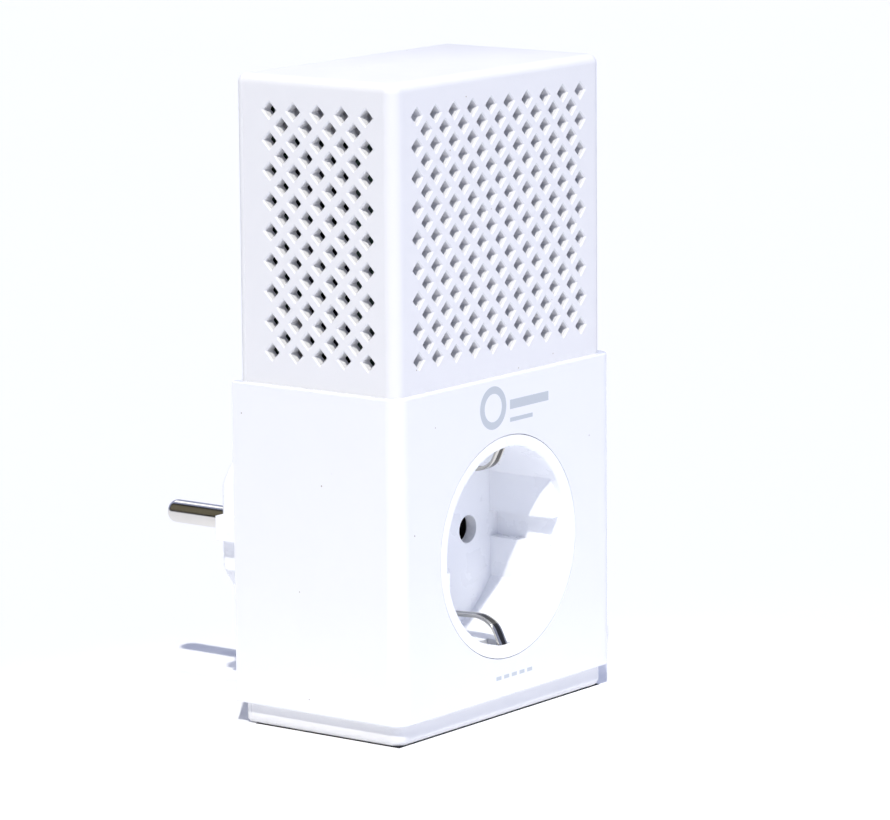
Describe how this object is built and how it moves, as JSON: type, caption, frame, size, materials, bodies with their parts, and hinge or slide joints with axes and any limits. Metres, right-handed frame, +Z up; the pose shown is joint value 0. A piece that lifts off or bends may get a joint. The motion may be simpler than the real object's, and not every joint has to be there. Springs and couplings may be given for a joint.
{
  "type": "powerline adapter",
  "caption": "White pass-through powerline network adapter: perforated upper housing, glossy lower sleeve, round earthed mains socket in front, mains plug behind, network port in the base.",
  "frame": {"origin": "middle of the footprint box, plug included, on the base it stands on", "axes": "+Z up, -Y out of the front face with the socket, +Y along the plug pins, +X to the right seen from the front"},
  "size_m": [0.072, 0.0804, 0.131],
  "materials": {
    "matte_white": "fine matte moulded",
    "gloss_white": "polished",
    "socket_white": "satin moulded",
    "spring_nickel": "dull nickel plated spring strip",
    "nickel": "bright nickel plate",
    "contact_brass": "bare stamped",
    "gold_contact": "gold plated",
    "screw_steel": "zinc plated",
    "board_green": "dark solder mask",
    "black_plastic": "moulded",
    "switch_plunger": "moulded",
    "nylon": "moulded",
    "ferrite": "sintered",
    "winding_copper": "enamelled copper wire",
    "winding_tape": "polyester tape",
    "film_capacitor": "moulded case",
    "can_sleeve": "shrink sleeve",
    "disc_blue": "dipped coating",
    "fuse_ceramic": "ceramic tube with metal caps",
    "bare_aluminium": "extruded",
    "thermal_rubber": "soft pad",
    "led_lens": "moulded lens",
    "clear_guide": "clear moulding",
    "label_paper": "blank printed label",
    "insulating_film": "thin film"
  },
  "bodies": {
    "housing": {"board_header": "black_plastic", "board_spacers": "nylon", "bridge_rectifier": "black_plastic", "bulk_capacitors": "can_sleeve", "choke_core": "ferrite", "choke_windings": "winding_copper", "contact_carrier": "black_plastic", "coupling_transformer": "black_plastic", "crystal": "bare_aluminium", "earth_strap": "nickel", "ethernet_contacts": "gold_contact", "ethernet_jack": "black_plastic", "ethernet_magnetics": "black_plastic", "ethernet_shield": "nickel", "front_housing": "matte_white", "fuse": "fuse_ceramic", "gloss_sleeve": "gloss_white", "header_pins": "nickel", "heatsink": "bare_aluminium", "housing_screws": "screw_steel", "insulation_sheet": "insulating_film", "light_guide": "clear_guide", "line_busbar": "contact_brass", "line_contact": "nickel", "logic_board": "board_green", "main_chip": "black_plastic", "memory_chip": "black_plastic", "neutral_busbar": "contact_brass", "neutral_contact": "nickel", "output_capacitor": "can_sleeve", "pair_switch": "black_plastic", "plug_body": "socket_white", "plug_earth_strip_bottom": "nickel", "plug_earth_strip_top": "nickel", "plug_pin_line": "nickel", "plug_pin_neutral": "nickel", "power_board": "board_green", "rating_label": "label_paper", "rear_cover": "matte_white", "reset_switch": "black_plastic", "socket_insert": "socket_white", "status_leds": "led_lens", "thermal_pad": "thermal_rubber", "transformer_core": "ferrite", "transformer_winding": "winding_tape", "varistor": "disc_blue", "x2_capacitor": "film_capacitor", "y_capacitor": "disc_blue"},
    "pair_button": {"pair_button": "socket_white"},
    "pair_plunger": {"pair_plunger": "switch_plunger"},
    "reset_plunger": {"reset_plunger": "switch_plunger"},
    "earth_clip_top": {"socket_earth_clip_top": "spring_nickel"},
    "earth_clip_bottom": {"socket_earth_clip_bottom": "spring_nickel"}
  },
  "joints": [
    {"name": "pair_button_press", "type": "slide", "parent": "housing", "child": "pair_button", "axis": [-1, 0, 0], "range_m": [0, 0.0005], "stiffness_N_per_m": 1500},
    {"name": "pair_plunger_press", "type": "slide", "parent": "housing", "child": "pair_plunger", "axis": [-1, 0, 0], "range_m": [0, 0.0005], "stiffness_N_per_m": 20},
    {"name": "reset_press", "type": "slide", "parent": "housing", "child": "reset_plunger", "axis": [0, 0, 1], "range_m": [0, 0.0004], "stiffness_N_per_m": 1500},
    {"name": "earth_clip_top_flex", "type": "hinge", "parent": "housing", "child": "earth_clip_top", "pos_m": [0, -0.02025, 0.0507], "axis": [-1, 0, 0], "range_deg": [0, 3.5], "stiffness_Nm_per_rad": 1},
    {"name": "earth_clip_bottom_flex", "type": "hinge", "parent": "housing", "child": "earth_clip_bottom", "pos_m": [0, -0.02025, 0.0193], "axis": [1, 0, 0], "range_deg": [0, 3.5], "stiffness_Nm_per_rad": 1}
  ],
  "couplings": [
    {"joint": "pair_plunger_press", "follows": "pair_button_press", "ratio": 1}
  ]
}
